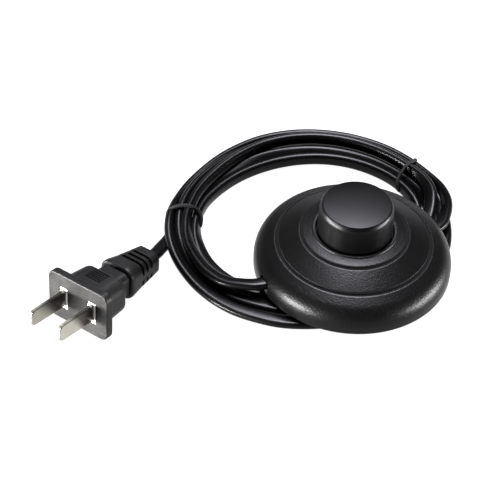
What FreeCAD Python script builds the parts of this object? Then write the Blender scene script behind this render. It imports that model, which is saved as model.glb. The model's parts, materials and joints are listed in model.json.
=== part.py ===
import FreeCAD, Part
import math
import os
import re
import Sketcher
from FreeCAD import Placement, Rotation, Vector

# Lamp foot switch: a round stepped head with a push button, in the line of a flat two-core cord.
# Millimetres, +Z up, origin on the floor under the middle of the head. The two cords enter the head
# along X: the cord to the plug at +X, the cord to the lamp at -X.

doc = FreeCAD.newDocument("lamp_foot_switch")
sheet = doc.addObject("Spreadsheet::Sheet", "sizes")

# Driving dimensions
SIZES = {
    # Head
    "rim_radius": 35.0,
    "rim_corner_height": 7.55,
    "rim_round": 8.0,
    "edge_break": 0.6,
    "cover_wall": 2.2,
    "cover_drop": 2.4,
    "outer_groove_radius": 27.03,
    "outer_groove_height": 11.65,
    "inner_groove_radius": 18.54,
    "inner_groove_height": 15.75,
    "groove_half_width": 0.55,
    "groove_depth": 0.7,
    "collar_height": 16.4,
    "collar_thick": 2.3,
    "lip_height": 0.5,
    "lip_width": 1.4,
    "button_gap": 0.4,
    "fit_gap": 0.2,
    # Feet, base plate and its screws
    "foot_height": 4.0,
    "foot_radius": 3.5,
    "foot_circle": 27.0,
    "foot_turn": 33.3,
    "foot_peg_radius": 1.5,
    "foot_peg_length": 1.4,
    "peg_gap": 0.05,
    "plate_thick": 2.0,
    "screw_circle": 23.5,
    "screw_turn": 93.3,
    "screw_radius": 1.3,
    "screw_length": 8.0,
    "screw_head_radius": 2.9,
    "screw_head_thick": 1.1,
    "screw_gap": 0.1,
    "pilot_depth": 1.0,
    "boss_radius": 3.0,
    "boss_sink": 0.5,
    # Flat cord and its clamps
    "cord_width": 5.0,
    "cord_thick": 3.0,
    "notch_gap": 0.4,
    "notch_corner": 1.0,
    "cord_end_x": 22.0,
    "clamp_inset": 9.4,
    "clamp_length": 15.0,
    "clamp_width": 4.5,
    "clamp_thick": 1.6,
    "clamp_corner": 1.5,
    "clamp_screw_y": 5.4,
    "clamp_screw_radius": 1.0,
    "clamp_post_radius": 2.1,
    "clamp_head_radius": 2.0,
    "clamp_head_thick": 1.2,
    # Button
    "button_radius": 13.2,
    "button_top_radius": 12.5,
    "button_rise": 11.5,
    "button_round": 1.6,
    "button_wall": 1.8,
    "button_flange": 1.5,
    "button_flange_reach": 2.2,
    "flange_gap": 0.3,
    "button_boss_length": 2.2,
    "button_boss_radius": 4.6,
    "button_travel": 4.0,
    # Switch case, rotor and plunger
    "case_radius": 10.6,
    "case_bore": 8.6,
    "case_floor": 1.2,
    "case_height": 13.0,
    "lid_thick": 1.2,
    "lid_spigot": 1.0,
    "pin_radius": 1.4,
    "pin_height": 8.0,
    "pin_shoulder_radius": 2.3,
    "pin_shoulder_height": 1.4,
    "pivot_gap": 0.05,
    "rotor_radius": 8.2,
    "rotor_thick": 2.0,
    "ramp_inner": 4.8,
    "ramp_outer": 7.8,
    "ramp_travel_angle": 45.0,
    "ramp_lead_angle": 10.0,
    "ramp_gap": 0.15,
    "stem_radius": 4.0,
    "stem_bore": 1.9,
    "stem_bore_depth": 5.2,
    "finger_width": 1.6,
    "finger_height": 2.4,
    "finger_reach": 9.3,
    "keyway_gap": 0.2,
    # Contacts and terminals
    "contact_thick": 0.5,
    "contact_width": 4.0,
    "contact_start": 4.2,
    "contact_end": 19.4,
    "terminal_x": 16.0,
    "terminal_boss_radius": 3.1,
    "terminal_screw_radius": 1.2,
    "terminal_head_radius": 2.5,
    "terminal_head_thick": 1.6,
    "bridge_arm_width": 3.0,
    "bridge_arm_end": 7.2,
    "bridge_ring_radius": 4.2,
    "dimple_radius": 0.9,
    "dimple_circle": 5.8,
    "contact_gap": 0.1,
    "wire_radius": 0.75,
    "wire_drop_run": 2.1,
    # Button spring
    "spring_radius": 7.2,
    "spring_wire": 0.45,
    "spring_turns": 4.5,
    "spring_seat_gap": 0.1,
    # Plug, in its own frame: X across the blades, Y out along them, Z up
    "plug_x": -98.1,
    "plug_y": 13.5,
    "plug_z": 10.6,
    "plug_yaw": 116.7,
    "plug_pitch": 8.7,
    "plug_roll": 4.7,
    "flange_width": 26.6,
    "flange_height": 18.4,
    "flange_thick": 3.0,
    "flange_corner": 3.0,
    "flange_break": 0.5,
    "shell_width": 20.8,
    "shell_height": 14.6,
    "shell_corner": 5.0,
    "shell_length": 11.2,
    "shell_end_width": 19.4,
    "shell_end_height": 13.6,
    "shell_end_round": 1.4,
    "grip_depth": 0.35,
    "grip_length": 6.8,
    "grip_rib": 0.5,
    "grip_pitch": 1.0,
    "grip_count": 6,
    "grip_start": 7.2,
    "waist_width": 12.2,
    "waist_height": 9.4,
    "waist_corner": 2.6,
    "waist_length": 5.4,
    "boot_width": 14.6,
    "boot_height": 12.5,
    "boot_corner": 4.0,
    "boot_lip": 1.8,
    "boot_length": 4.0,
    "neck_width": 13.2,
    "neck_height": 11.0,
    "neck_corner": 3.4,
    "relief_length": 11.2,
    "relief_end_width": 10.2,
    "relief_end_height": 8.8,
    "relief_corner": 2.8,
    "relief_groove_width": 1.2,
    "relief_groove_depth": 1.1,
    "relief_groove_pitch": 2.6,
    "relief_groove_count": 3,
    "relief_spine": 2.0,
    "blade_spacing": 12.7,
    "blade_height": 6.35,
    "blade_thick": 1.5,
    "blade_length": 15.9,
    "blade_root": 6.0,
    "blade_round": 2.0,
    "blade_break": 0.35,
    "window_width": 3.6,
    "window_height": 8.4,
    "window_recess": 0.3,
    "core_depth": 2.8,
    "core_width": 16.6,
    "core_height": 9.4,
    "core_thick": 3.2,
    # Coil and its ties
    "coil_x": -3.8,
    "coil_y": 22.4,
    "coil_radius": 45.0,
    "coil_width": 13.0,
    "coil_height": 5.2,
    "coil_corner": 1.3,
    "coil_start": -10.7,
    "coil_sweep": 219.0,
    "tie_thick": 0.8,
    "tie_width": 2.2,
    "tie_gap": 0.05,
    "tie_left_turn": 149.0,
    "tie_right_turn": 14.0,
    "tie_tail_length": 5.0,
    "tie_tail_height": 3.9,
    "underrun_width": 10.6,
    "underrun_thick": 3.2,
}
for row, (alias, size) in enumerate(SIZES.items(), start=1):
    sheet.set(f"A{row}", str(size))
    sheet.setAlias(f"A{row}", alias)
doc.recompute()

# Heights and radii that several pieces share, as expressions on the sheet
PLATE_TOP = "foot_height + plate_thick"
CORD_TOP = f"{PLATE_TOP} + cord_thick"
CORD_MIDDLE = f"{PLATE_TOP} + cord_thick / 2"
COLLAR = "foot_height + collar_height"
LIP = f"{COLLAR} + lip_height"
HOLE = "button_radius + button_gap"
RIM_BORE = "rim_radius - cover_wall"
CLAMP_X = "(rim_radius - clamp_inset)"
ROTOR_BOTTOM = f"{PLATE_TOP} + case_floor + pin_shoulder_height"
CASE_FLOOR = f"{PLATE_TOP} + case_floor"
CASE_TOP = f"{PLATE_TOP} + case_height"
LID_TOP = f"{CASE_TOP} + lid_thick"
FLANGE_TOP = f"{COLLAR} - collar_thick - flange_gap"
FLANGE_BOTTOM = f"{FLANGE_TOP} - button_flange"
BUTTON_TOP = f"{LIP} + button_rise"
BUTTON_CEILING = f"{BUTTON_TOP} - button_wall"
SLOPE = "(inner_groove_height - outer_groove_height) / (outer_groove_radius - inner_groove_radius)"
RIM_SLOPE = "(outer_groove_height - rim_corner_height) / (rim_radius - outer_groove_radius)"


# Tolerance for finding an edge by its place
NEAR = 0.01


def num(expression):
    """The value of an expression on the sheet."""
    return float(sheet.evalExpression(str(expression)))


def bound(expression):
    """The same expression as another object of the document writes it."""
    names = "|".join(sorted(SIZES, key=len, reverse=True))
    return re.sub(rf"\b({names})\b", r"sizes.\1", str(expression))


def origin(body, role):
    return next(feature for feature in body.Origin.OriginFeatures if feature.Role == role)


def make_body(label):
    body = doc.addObject("PartDesign::Body", label)
    body.Label = label
    return body


def make_sketch(body, role, height="0"):
    """A sketch on one of the body's own planes, moved along the plane's normal."""
    sketch = body.newObject("Sketcher::SketchObject", f"{body.Label}_sketch")
    sketch.AttachmentSupport = (origin(body, role), [""])
    sketch.MapMode = "FlatFace"
    sketch.setExpression("AttachmentOffset.Base.z", bound(height))
    return sketch


def hold(sketch, element, point, x, y):
    """Ties one point of a sketch to its two distances from the sketch's origin."""
    for kind, distance in (("DistanceX", x), ("DistanceY", y)):
        index = sketch.addConstraint(Sketcher.Constraint(kind, -1, 1, element, point, num(distance)))
        sketch.setExpression(f"Constraints[{index}]", bound(distance))


def outline(sketch, corners):
    """A closed outline with straight sides; each corner is a pair of expressions."""
    places = [Vector(num(x), num(y), 0) for x, y in corners]
    first = sketch.GeometryCount
    count = len(places)
    for i in range(count):
        sketch.addGeometry(Part.LineSegment(places[i], places[(i + 1) % count]))
    for i in range(count):
        sketch.addConstraint(
            Sketcher.Constraint("Coincident", first + i, 2, first + (i + 1) % count, 1))
    for i, (x, y) in enumerate(corners):
        hold(sketch, first + i, 1, x, y)


def rectangle(sketch, left, bottom, right, top):
    outline(sketch, [(left, bottom), (right, bottom), (right, top), (left, top)])


def rounded(sketch, width, height, corner, middle=("0", "0")):
    """A rectangle about a middle point, with round corners."""
    half_w, half_h = f"(({width}) / 2 - ({corner}))", f"(({height}) / 2 - ({corner}))"
    turns = ((1, -1), (1, 1), (-1, 1), (-1, -1))
    first = sketch.GeometryCount
    for i, (sx, sy) in enumerate(turns):
        centre = (f"{middle[0]} + {sx} * {half_w}", f"{middle[1]} + {sy} * {half_h}")
        start = math.radians(90 * i - 90)
        circle = Part.Circle(Vector(num(centre[0]), num(centre[1]), 0), Vector(0, 0, 1), num(corner))
        sketch.addGeometry(Part.ArcOfCircle(circle, start, start + math.pi / 2))
        hold(sketch, first + i, 3, *centre)
    for i in range(4):
        here = sketch.getPoint(first + i, 2)
        there = sketch.getPoint(first + (i + 1) % 4, 1)
        line = sketch.addGeometry(Part.LineSegment(here, there))
        sketch.addConstraint(Sketcher.Constraint("Tangent", first + i, 2, line, 1))
        sketch.addConstraint(Sketcher.Constraint("Tangent", line, 2, first + (i + 1) % 4, 1))
        if i < 3:
            kind = "Vertical" if i % 2 == 0 else "Horizontal"
            sketch.addConstraint(Sketcher.Constraint(kind, line))
    index = sketch.addConstraint(Sketcher.Constraint("Radius", first, num(corner)))
    sketch.setExpression(f"Constraints[{index}]", bound(corner))


def circles(sketch, centres, radius):
    for x, y in centres:
        index = sketch.addGeometry(Part.Circle(Vector(num(x), num(y), 0), Vector(0, 0, 1), num(radius)))
        hold(sketch, index, 3, x, y)
        size = sketch.addConstraint(Sketcher.Constraint("Radius", index, num(radius)))
        sketch.setExpression(f"Constraints[{size}]", bound(radius))


def ring_of(count, circle, turn):
    """Evenly spaced places round the Z axis, as expressions."""
    return [(f"{circle} * cos({turn} + {360 * i / count})", f"{circle} * sin({turn} + {360 * i / count})")
            for i in range(count)]


def feature(body, kind, sketch, **settings):
    made = body.newObject(f"PartDesign::{kind}", f"{body.Label}_{kind.lower()}")
    made.Profile = (sketch, [""])
    for name, setting in settings.items():
        setattr(made, name, setting)
    return made


def pad(body, sketch, length, **settings):
    made = feature(body, "Pad", sketch, **settings)
    made.setExpression("Length", bound(length))
    return made


def pocket(body, sketch, length, **settings):
    """Cuts a sketch into the body, and makes sure that it cuts something."""
    doc.recompute()
    before = body.Shape.Volume
    made = feature(body, "Pocket", sketch, **settings)
    made.setExpression("Length", bound(length))
    doc.recompute()
    if not body.Shape.Volume < before:
        raise ValueError(f"{body.Label}: a pocket cuts nothing")
    return made


def revolve(body, corners, angle="360"):
    sketch = make_sketch(body, "XZ_Plane")
    outline(sketch, corners)
    made = feature(body, "Revolution", sketch)
    made.ReferenceAxis = (sketch, ["V_Axis"])
    made.setExpression("Angle", bound(angle))
    return made


def dress_where(body, kind, size, picked):
    """Rounds or chamfers the edges that a test picks."""
    doc.recompute()
    base = body.Tip
    names = [f"Edge{i}" for i, edge in enumerate(base.Shape.Edges, start=1) if picked(edge)]
    made = body.newObject(f"PartDesign::{kind}", f"{body.Label}_{kind.lower()}")
    made.Base = (base, names)
    made.setExpression("Radius" if kind == "Fillet" else "Size", bound(size))
    return made


def dress(body, kind, size, radius, height):
    """Rounds or chamfers the circular edge of a given radius at a given height."""
    def picked(edge):
        curve = edge.Curve
        return (isinstance(curve, Part.Circle) and abs(curve.Radius - num(radius)) < NEAR
                and abs(curve.Center.z - num(height)) < NEAR)

    return dress_where(body, kind, size, picked)


def discs(body, centres, radius, bottom, length):
    sketch = make_sketch(body, "XY_Plane", bottom)
    circles(sketch, centres, radius)
    return pad(body, sketch, length)


def drill(body, centres, radius, bottom, length):
    """Round holes that go up from a height."""
    sketch = make_sketch(body, "XY_Plane", bottom)
    circles(sketch, centres, radius)
    return pocket(body, sketch, length, Reversed=True)


SCREWS = ring_of(3, "screw_circle", "screw_turn")
FEET = ring_of(3, "foot_circle", "foot_turn")
TERMINALS = [("terminal_x", "0"), ("-terminal_x", "0")]
CLAMP_SCREWS = [(f"{side}{CLAMP_X}", f"{way}clamp_screw_y") for side in ("", "-") for way in ("", "-")]
SIDES = {"plug_side": 0, "lamp_side": 180}


# Top cover: one moulding with two ring grooves, a flat collar and a lip round the button
def top_cover():
    body = make_body("top_cover")
    edge = "outer_groove_radius + groove_half_width"
    step = "outer_groove_radius - groove_half_width"
    inner_edge = "inner_groove_radius + groove_half_width"
    collar_edge = "inner_groove_radius - groove_half_width"
    outer_z = "foot_height + outer_groove_height"
    inner_z = "foot_height + inner_groove_height"
    wall_top = f"foot_height + rim_corner_height + cover_wall * {RIM_SLOPE} - cover_drop"
    revolve(body, [
        ("rim_radius - edge_break", "foot_height"),
        ("rim_radius", "foot_height + edge_break"),
        ("rim_radius", "foot_height + rim_corner_height"),
        (edge, f"{outer_z} - groove_half_width * {RIM_SLOPE}"),
        ("outer_groove_radius", f"{outer_z} - groove_depth"),
        (step, f"{outer_z} + groove_half_width * {SLOPE}"),
        (inner_edge, f"{inner_z} - groove_half_width * {SLOPE}"),
        ("inner_groove_radius", f"{inner_z} - groove_depth"),
        (collar_edge, inner_z),
        (f"{HOLE} + lip_width", COLLAR),
        (f"{HOLE} + lip_width - lip_height / 2", LIP),
        (f"{HOLE} + lip_height", LIP),
        (HOLE, COLLAR),
        (HOLE, f"{COLLAR} - collar_thick"),
        (collar_edge, f"{inner_z} - collar_thick"),
        ("outer_groove_radius", f"{outer_z} - cover_drop"),
        (RIM_BORE, wall_top),
        (RIM_BORE, "foot_height"),
    ])
    dress(body, "Fillet", "rim_round", "rim_radius", "foot_height + rim_corner_height")
    ceiling = f"{outer_z} + (outer_groove_radius - screw_circle) * {SLOPE} - cover_drop"
    discs(body, SCREWS, "boss_radius", PLATE_TOP, f"{ceiling} + boss_sink - ({PLATE_TOP})")
    drill(body, SCREWS, "screw_radius + peg_gap", PLATE_TOP, "screw_length - plate_thick")
    notch = make_sketch(body, "YZ_Plane")
    half = "(cord_width / 2 + notch_gap)"
    roof = f"{CORD_TOP} + notch_gap"
    outline(notch, [
        (f"-{half}", "foot_height - edge_break"),
        (half, "foot_height - edge_break"),
        (half, f"{roof} - notch_corner"),
        (f"{half} - notch_corner", roof),
        (f"notch_corner - {half}", roof),
        (f"-{half}", f"{roof} - notch_corner"),
    ])
    pocket(body, notch, "rim_radius * 3", Midplane=True)
    return body


# Base plate with its posts, and a tongue under the cord in each notch
def base_plate():
    body = make_body("base_plate")
    discs(body, [("0", "0")], f"{RIM_BORE} - fit_gap", "foot_height", "plate_thick")
    tongue = make_sketch(body, "XY_Plane", "foot_height")
    reach = "rim_radius - edge_break"
    rectangle(tongue, f"-({reach})", "-cord_width / 2", reach, "cord_width / 2")
    pad(body, tongue, "plate_thick")
    discs(body, TERMINALS, "terminal_boss_radius", PLATE_TOP, "case_floor")
    discs(body, CLAMP_SCREWS, "clamp_post_radius", PLATE_TOP, "cord_thick")
    fence = make_sketch(body, "XY_Plane", PLATE_TOP)
    circles(fence, [("0", "0")], "case_radius + fit_gap")
    circles(fence, [("0", "0")], "case_radius + fit_gap + case_floor")
    pad(body, fence, "case_floor - fit_gap")
    drill(body, SCREWS, "screw_radius + screw_gap", "foot_height", "plate_thick")
    drill(body, SCREWS, "screw_head_radius + screw_gap", "foot_height", "screw_head_thick + screw_gap")
    drill(body, FEET, "foot_peg_radius + peg_gap", "foot_height", "foot_peg_length + screw_gap")
    drill(body, TERMINALS, "terminal_screw_radius + peg_gap", f"{PLATE_TOP} - pilot_depth",
          "pilot_depth + case_floor")
    drill(body, CLAMP_SCREWS, "clamp_screw_radius + peg_gap", f"{PLATE_TOP} - pilot_depth",
          "pilot_depth + cord_thick")
    return body


def rubber_feet():
    body = make_body("rubber_feet")
    discs(body, FEET, "foot_radius", "0", "foot_height")
    discs(body, FEET, "foot_peg_radius", "foot_height", "foot_peg_length")
    dress(body, "Chamfer", "edge_break", "foot_radius", "0")
    return body


def screws(label, centres, radius, head_radius, head, shank):
    """Pan screws: head and shank are each a height and a length, the shank below or above the head."""
    body = make_body(label)
    discs(body, centres, head_radius, *head)
    discs(body, centres, radius, *shank)
    return body


def push_button():
    body = make_body("push_button")
    bore = "button_radius - button_wall"
    flange = "button_radius + button_flange_reach"
    revolve(body, [
        ("0", BUTTON_TOP),
        ("0", f"{BUTTON_CEILING} - button_boss_length"),
        ("button_boss_radius", f"{BUTTON_CEILING} - button_boss_length"),
        ("button_boss_radius", BUTTON_CEILING),
        ("button_top_radius - button_wall", BUTTON_CEILING),
        (bore, FLANGE_TOP),
        (bore, FLANGE_BOTTOM),
        (flange, FLANGE_BOTTOM),
        (flange, FLANGE_TOP),
        ("button_radius", FLANGE_TOP),
        ("button_radius", LIP),
        ("button_top_radius", BUTTON_TOP),
    ])
    dress(body, "Fillet", "button_round", "button_top_radius", BUTTON_TOP)
    return body


RAMP_TOP = f"{ROTOR_BOTTOM} + rotor_thick + button_travel"
STEM_BOTTOM = f"{RAMP_TOP} + ramp_gap"


# Plunger: a stem under the button with two fingers that slide in the case's keyways
def plunger():
    body = make_body("plunger")
    length = f"{BUTTON_CEILING} - button_boss_length - ({STEM_BOTTOM})"
    discs(body, [("0", "0")], "stem_radius", STEM_BOTTOM, length)
    fingers = make_sketch(body, "XY_Plane", STEM_BOTTOM)
    rectangle(fingers, "-finger_width / 2", "-finger_reach", "finger_width / 2", "finger_reach")
    pad(body, fingers, "finger_height")
    drill(body, [("0", "0")], "stem_bore", STEM_BOTTOM, "stem_bore_depth")
    return body


# Rotor: a disc with two helical ramps, which the fingers turn as they go down
def rotor():
    body = make_body("rotor")
    discs(body, [("0", "0")], "rotor_radius", ROTOR_BOTTOM, "rotor_thick")
    lead = "button_travel / ramp_travel_angle"
    rise = f"{lead} * (ramp_travel_angle + ramp_lead_angle)"
    ramp_profile = make_sketch(body, "XZ_Plane")
    start_top = f"{RAMP_TOP} - {rise}"
    rectangle(ramp_profile, "ramp_inner", f"{start_top} - button_travel - rotor_thick / 2",
              "ramp_outer", start_top)
    doc.recompute()
    ramp = feature(body, "AdditiveHelix", ramp_profile)
    ramp.ReferenceAxis = (origin(body, "Z_Axis"), [""])
    ramp.Mode = "pitch-height-angle"
    ramp.setExpression("Pitch", bound(f"360 * {lead}"))
    ramp.setExpression("Height", bound(rise))
    doc.recompute()
    pair = body.newObject("PartDesign::PolarPattern", "rotor_pattern")
    pair.Originals = [ramp]
    pair.Axis = (origin(body, "Z_Axis"), [""])
    pair.Angle = 360
    pair.Occurrences = 2
    body.Tip = pair
    under = make_sketch(body, "XY_Plane", ROTOR_BOTTOM)
    circles(under, [("0", "0")], "rotor_radius + button_travel")
    pocket(body, under, "button_travel * 2")
    drill(body, [("0", "0")], "pin_radius + pivot_gap", ROTOR_BOTTOM, "rotor_thick")
    body.Placement = Placement(Vector(), Rotation(Vector(0, 0, 1), 90 - num("ramp_travel_angle")))
    return body


def contact_bridge():
    body = make_body("contact_bridge")
    top = f"{ROTOR_BOTTOM} - contact_thick"
    ring = make_sketch(body, "XY_Plane", top)
    circles(ring, [("0", "0")], "bridge_ring_radius")
    pad(body, ring, "contact_thick")
    arms = make_sketch(body, "XY_Plane", top)
    rectangle(arms, "-bridge_arm_width / 2", "-bridge_arm_end", "bridge_arm_width / 2", "bridge_arm_end")
    pad(body, arms, "contact_thick")
    dimples = [("0", "dimple_circle"), ("0", "-dimple_circle")]
    rise = f"{top} - ({CASE_FLOOR} + contact_thick + contact_gap)"
    discs(body, dimples, "dimple_radius", f"{CASE_FLOOR} + contact_thick + contact_gap", rise)
    drill(body, [("0", "0")], "pin_shoulder_radius + fit_gap", top, "contact_thick")
    return body


# Switch case: a round cup with the rotor's pivot pin, two keyways and a slot for each contact
def switch_case():
    body = make_body("switch_case")
    shoulder = f"{ROTOR_BOTTOM} - pivot_gap"
    revolve(body, [
        ("0", PLATE_TOP),
        ("case_radius", PLATE_TOP),
        ("case_radius", CASE_TOP),
        ("case_bore", CASE_TOP),
        ("case_bore", CASE_FLOOR),
        ("pin_shoulder_radius", CASE_FLOOR),
        ("pin_shoulder_radius", shoulder),
        ("pin_radius", shoulder),
        ("pin_radius", f"{PLATE_TOP} + pin_height"),
        ("0", f"{PLATE_TOP} + pin_height"),
    ])
    keyways = make_sketch(body, "XY_Plane", CASE_TOP)
    half = "(finger_width / 2 + keyway_gap)"
    reach = "finger_reach + keyway_gap"
    for side in ("", "-"):
        rectangle(keyways, f"-{half}", f"{side}stem_radius", half, f"{side}({reach})")
    pocket(body, keyways, f"{CASE_TOP} - ({ROTOR_BOTTOM} + rotor_thick)")
    slots = make_sketch(body, "YZ_Plane")
    rectangle(slots, "-contact_width / 2 - contact_gap", CASE_FLOOR, "contact_width / 2 + contact_gap",
              f"{CASE_FLOOR} + contact_thick + contact_gap")
    pocket(body, slots, "case_radius * 3", Midplane=True)
    return body


def switch_lid():
    body = make_body("switch_lid")
    hole = "stem_radius + pivot_gap * 2"
    spigot = "case_bore - pivot_gap"
    revolve(body, [
        (hole, f"{CASE_TOP} - lid_spigot"),
        (spigot, f"{CASE_TOP} - lid_spigot"),
        (spigot, CASE_TOP),
        ("case_radius", CASE_TOP),
        ("case_radius", LID_TOP),
        (hole, LID_TOP),
    ])
    return body


def fixed_contact(side, turn):
    body = make_body(f"contact_{side}")
    strip = make_sketch(body, "XY_Plane", CASE_FLOOR)
    rectangle(strip, "contact_start", "-contact_width / 2", "contact_end", "contact_width / 2")
    pad(body, strip, "contact_thick")
    drill(body, [("terminal_x", "0")], "terminal_screw_radius + peg_gap", CASE_FLOOR, "contact_thick")
    body.Placement = Placement(Vector(), Rotation(Vector(0, 0, 1), turn))
    return body


def cord_clamp(side, turn):
    body = make_body(f"cord_clamp_{side}")
    bar = make_sketch(body, "XY_Plane", CORD_TOP)
    rounded(bar, "clamp_width", "clamp_length", "clamp_corner", (CLAMP_X, "0"))
    pad(body, bar, "clamp_thick")
    holes = [(CLAMP_X, "clamp_screw_y"), (CLAMP_X, "-clamp_screw_y")]
    drill(body, holes, "clamp_screw_radius + peg_gap", CORD_TOP, "clamp_thick")
    body.Placement = Placement(Vector(), Rotation(Vector(0, 0, 1), turn))
    return body


def button_spring():
    body = make_body("button_spring")
    height = f"{BUTTON_CEILING} - ({LID_TOP}) - 2 * (spring_wire + spring_seat_gap)"
    wire = make_sketch(body, "XZ_Plane")
    circles(wire, [("spring_radius", f"{LID_TOP} + spring_wire + spring_seat_gap")], "spring_wire")
    doc.recompute()
    coil = feature(body, "AdditiveHelix", wire)
    coil.ReferenceAxis = (origin(body, "Z_Axis"), [""])
    coil.Mode = "height-turns-angle"
    coil.setExpression("Height", bound(height))
    coil.setExpression("Turns", bound("spring_turns"))
    return body


# Plug
PLUG_PLACE = Placement(
    Vector(num("plug_x"), num("plug_y"), num("plug_z")),
    Rotation(Vector(0, 0, 1), num("plug_yaw"))
    .multiply(Rotation(Vector(1, 0, 0), num("plug_pitch")))
    .multiply(Rotation(Vector(0, 1, 0), num("plug_roll"))))
BLADES = {"blade_left": "blade_spacing / 2", "blade_right": "-blade_spacing / 2"}
SHELL_END = "flange_thick + shell_length"
WAIST_END = f"{SHELL_END} + waist_length"
BOOT_END = f"{WAIST_END} + boot_lip + boot_length"
PLUG_LENGTH = f"{BOOT_END} + relief_length"


def plug_section(body, depth, width, height, corner):
    """A rounded section of the plug, a depth behind its face."""
    sketch = make_sketch(body, "XZ_Plane", depth)
    rounded(sketch, width, height, corner)
    return sketch


def plug_loft(body, first, second):
    made = feature(body, "AdditiveLoft", first)
    made.Sections = [second]
    made.Ruled = True
    return made


def plug_body():
    """Face flange, shell, waist, and a tapered boot that ends in the slotted strain relief."""
    body = make_body("plug_body")
    pad(body, plug_section(body, "0", "flange_width", "flange_height", "flange_corner"), "flange_thick")
    dress_where(body, "Fillet", "flange_break", lambda edge: edge.BoundBox.YLength < NEAR)
    plug_loft(body,
              plug_section(body, "flange_thick", "shell_width", "shell_height", "shell_corner"),
              plug_section(body, SHELL_END, "shell_end_width", "shell_end_height", "shell_corner"))
    shell_end = -num(SHELL_END)
    dress_where(body, "Fillet", "shell_end_round", lambda edge: (
        edge.BoundBox.YLength < NEAR and abs(edge.BoundBox.YMin - shell_end) < NEAR))
    pad(body, plug_section(body, SHELL_END, "waist_width", "waist_height", "waist_corner"), "waist_length")
    pad(body, plug_section(body, WAIST_END, "boot_width", "boot_height", "boot_corner"), "boot_lip")
    boot_front = -num(WAIST_END)
    dress_where(body, "Fillet", "boot_lip / 2", lambda edge: (
        edge.BoundBox.YLength < NEAR and abs(edge.BoundBox.YMin - boot_front) < NEAR
        and (abs(edge.CenterOfMass.x) > num("waist_width / 2") + NEAR
             or abs(edge.CenterOfMass.z) > num("waist_height / 2") + NEAR)))
    plug_loft(body,
              plug_section(body, f"{WAIST_END} + boot_lip", "boot_width", "boot_height", "boot_corner"),
              plug_section(body, BOOT_END, "neck_width", "neck_height", "neck_corner"))
    plug_loft(body,
              plug_section(body, BOOT_END, "neck_width", "neck_height", "neck_corner"),
              plug_section(body, PLUG_LENGTH, "relief_end_width", "relief_end_height", "relief_corner"))
    relief_grooves(body)
    grip_ribs(body)
    windows = make_sketch(body, "XZ_Plane")
    for middle in BLADES.values():
        rounded(windows, "window_width", "window_height", "window_recess", (middle, "0"))
    pocket(body, windows, "core_depth", Reversed=True)
    core = make_sketch(body, "XZ_Plane", "core_depth")
    rounded(core, "core_width", "core_height", "window_recess")
    pocket(body, core, "core_thick", Reversed=True)
    body.Placement = PLUG_PLACE
    return body


def relief_grooves(body):
    """Slots over the top and bottom of the strain relief, with a spine left along each side."""
    for i in range(int(num("relief_groove_count"))):
        run = f"relief_groove_pitch * {i + 0.5}"
        half_w = f"((neck_width + (relief_end_width - neck_width) * {run} / relief_length) / 2)"
        half_h = f"((neck_height + (relief_end_height - neck_height) * {run} / relief_length) / 2)"
        floor_w = f"({half_w} - relief_groove_depth)"
        floor_h = f"({half_h} - relief_groove_depth)"
        corner = "relief_groove_depth"
        sketch = make_sketch(body, "XZ_Plane", f"{BOOT_END} + {run} - relief_groove_width / 2")
        for way in (1, -1):
            spine = f"{way} * relief_spine / 2"
            outline(sketch, [
                ("-neck_width", spine),
                (f"-{floor_w}", spine),
                (f"-{floor_w}", f"{way} * ({floor_h} - {corner})"),
                (f"{corner} - {floor_w}", f"{way} * {floor_h}"),
                (f"{floor_w} - {corner}", f"{way} * {floor_h}"),
                (floor_w, f"{way} * ({floor_h} - {corner})"),
                (floor_w, spine),
                ("neck_width", spine),
                ("neck_width", f"{way} * neck_height"),
                ("-neck_width", f"{way} * neck_height"),
            ])
        pocket(body, sketch, "relief_groove_width", Reversed=True)


def grip_ribs(body):
    """Shallow slots across the shell's top and bottom, which leave a ribbed patch for the fingers."""
    floor = "(shell_end_height / 2 - grip_depth)"
    for way in (1, -1):
        ribs = make_sketch(body, "XY_Plane", f"{way} * {floor}")
        for i in range(int(num("grip_count"))):
            near = f"-grip_start - grip_pitch * {i}"
            rectangle(ribs, "-grip_length / 2", f"{near} - grip_rib", "grip_length / 2", near)
        pocket(body, ribs, "shell_height / 2", Reversed=way > 0)


# White core that carries the blades, seen in a window round each of them
def plug_core():
    body = make_body("plug_core")
    bridge = make_sketch(body, "XZ_Plane", "core_depth")
    rounded(bridge, "core_width", "core_height", "window_recess")
    pad(body, bridge, "core_thick")
    collars = make_sketch(body, "XZ_Plane", "window_recess")
    for middle in BLADES.values():
        rounded(collars, "window_width", "window_height", "window_recess", (middle, "0"))
    pad(body, collars, "core_depth - window_recess")
    slots = make_sketch(body, "XZ_Plane", "window_recess")
    for middle in BLADES.values():
        rectangle(slots, f"{middle} - blade_thick / 2", "-blade_height / 2", f"{middle} + blade_thick / 2",
                  "blade_height / 2")
    pocket(body, slots, "blade_root - window_recess", Reversed=True)
    body.Placement = PLUG_PLACE
    return body


def blade(label, middle):
    """A flat blade with round corners at its tip, and the tip's edges broken."""
    body = make_body(label)
    side = make_sketch(body, "YZ_Plane", middle)
    rectangle(side, "-blade_root", "-blade_height / 2", "blade_length", "blade_height / 2")
    pad(body, side, "blade_thick", Midplane=True)
    length = num("blade_length")
    round_start = num("blade_length - blade_round")
    dress_where(body, "Fillet", "blade_round", lambda edge: (
        edge.BoundBox.XLength > NEAR and edge.BoundBox.YMin > length - NEAR))
    dress_where(body, "Chamfer", "blade_break", lambda edge: (
        edge.BoundBox.XLength < NEAR and edge.BoundBox.YMin > round_start - NEAR))
    body.Placement = PLUG_PLACE
    return body


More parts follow.
